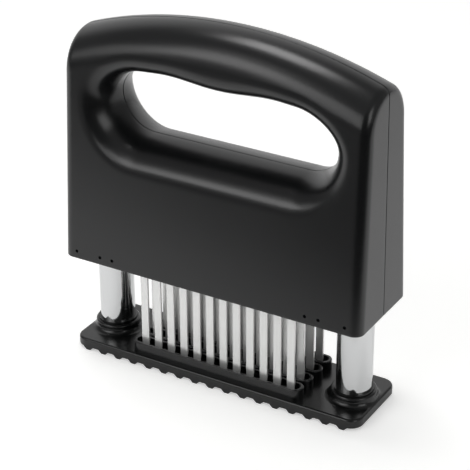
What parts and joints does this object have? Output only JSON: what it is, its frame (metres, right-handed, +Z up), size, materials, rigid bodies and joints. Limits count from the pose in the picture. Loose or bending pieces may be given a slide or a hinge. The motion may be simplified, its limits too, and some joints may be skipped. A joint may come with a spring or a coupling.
{
  "type": "blade meat tenderizer",
  "caption": "Hand-held push-down meat tenderizer: a hand-loop casing with rows of flat steel blades slides on two sprung posts over a slotted, toothed base plate.",
  "frame": {"origin": "centre of the footprint, on the plane of the base plate's tooth tips", "axes": "+X along the casing to the right, the front face looks along -Y, +Z up"},
  "size_m": [0.125, 0.0378, 0.1393],
  "materials": {
    "casing": "fine matte black moulded plastic",
    "plate": "satin black moulded plastic",
    "inner": "matte black moulded plastic",
    "bush": "white acetal",
    "blade": "polished stainless steel strip",
    "post": "polished stainless steel tube",
    "spring": "drawn spring wire",
    "screw": "zinc-plated steel"
  },
  "bodies": {
    "base": {"base_plate": "plate", "post_screws": "screw", "left_post_tube": "post", "right_post_tube": "post", "left_post_plug": "screw", "right_post_plug": "screw", "left_post_cap": "screw", "right_post_cap": "screw"},
    "handle": {"front_shell": "casing", "back_shell": "casing", "shell_screws": "screw", "guide_plate": "inner", "guide_pins": "screw", "left_guide_bush": "bush", "right_guide_bush": "bush", "blade_holder": "inner", "blade_clamp_plate": "inner", "clamp_screws": "screw", "blade_row_1": "blade", "blade_row_2": "blade", "blade_row_3": "blade", "blade_row_4": "blade", "left_spring_guide": "inner", "right_spring_guide": "inner", "left_spring": "spring", "right_spring": "spring"}
  },
  "joints": [
    {"name": "handle_press", "type": "slide", "parent": "base", "child": "handle", "axis": [0, 0, -1], "range_m": [0, 0.0317], "stiffness_N_per_m": 1200, "springref_m": -0.01, "deforming": ["left_spring", "right_spring"]}
  ]
}
